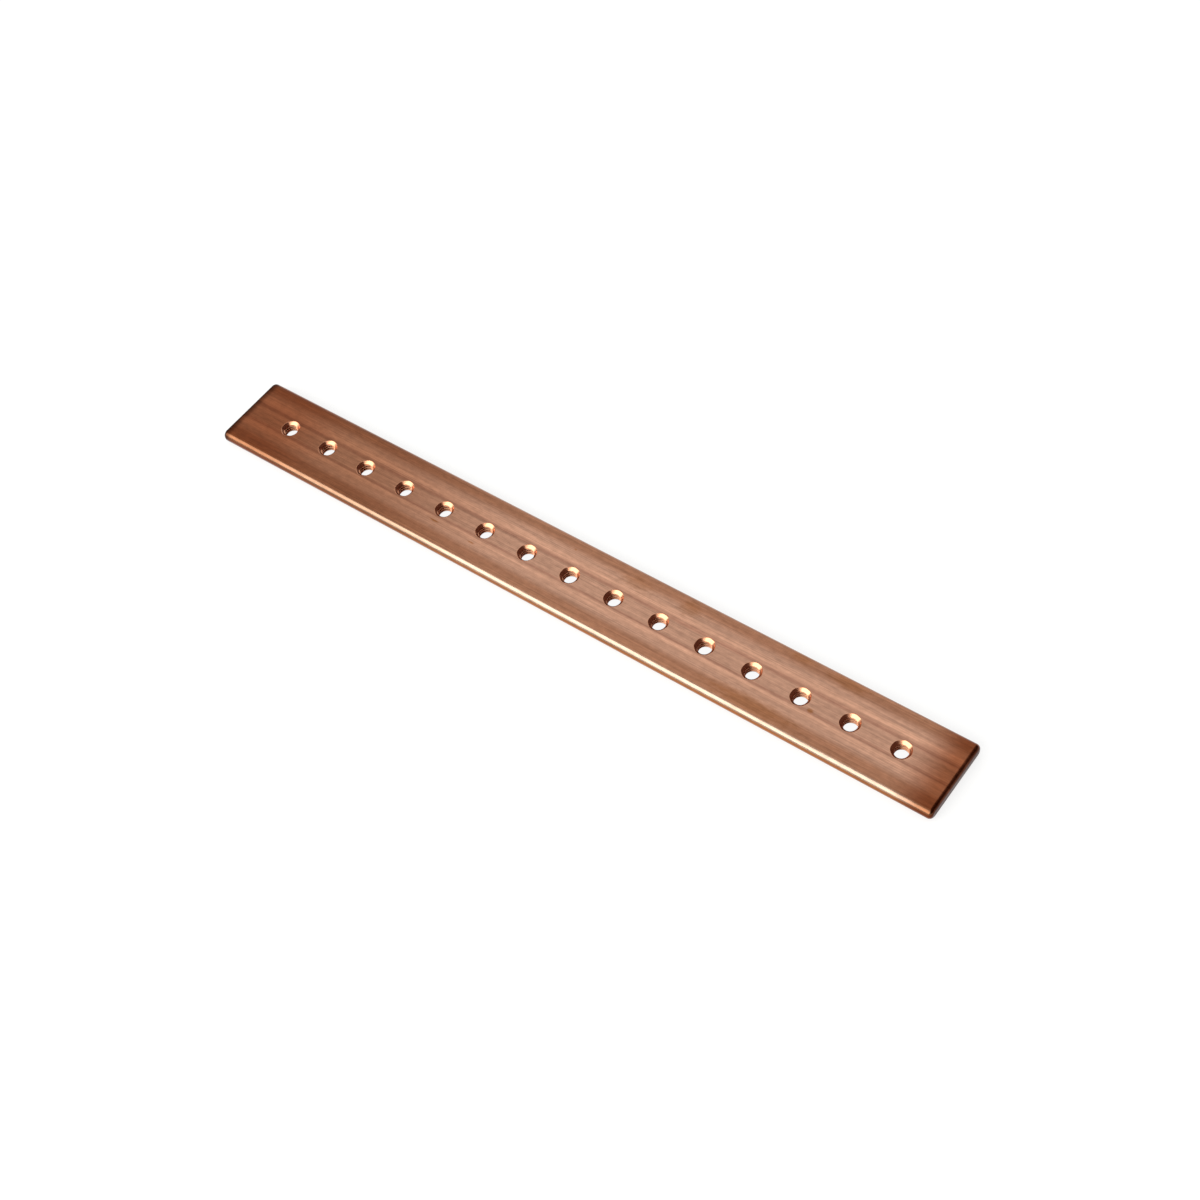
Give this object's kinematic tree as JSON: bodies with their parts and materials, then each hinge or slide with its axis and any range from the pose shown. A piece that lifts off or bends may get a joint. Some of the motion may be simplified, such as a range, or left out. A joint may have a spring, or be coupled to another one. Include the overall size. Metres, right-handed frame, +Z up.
{
  "type": "rack grounding busbar",
  "caption": "Flat bare copper earthing bar with round long edges and one row of evenly spaced, countersunk tapped holes for cable lugs.",
  "frame": {"origin": "middle of the underside, where the bar rests on its back face", "axes": "+X along the bar's length, +Y across its width, +Z up through its thickness, out of the contact face"},
  "size_m": [0.3, 0.03, 0.005],
  "materials": {
    "copper": "bare drawn copper, satin, lightly tarnished"
  },
  "bodies": {
    "root": {"busbar": "copper"}
  },
  "joints": []
}
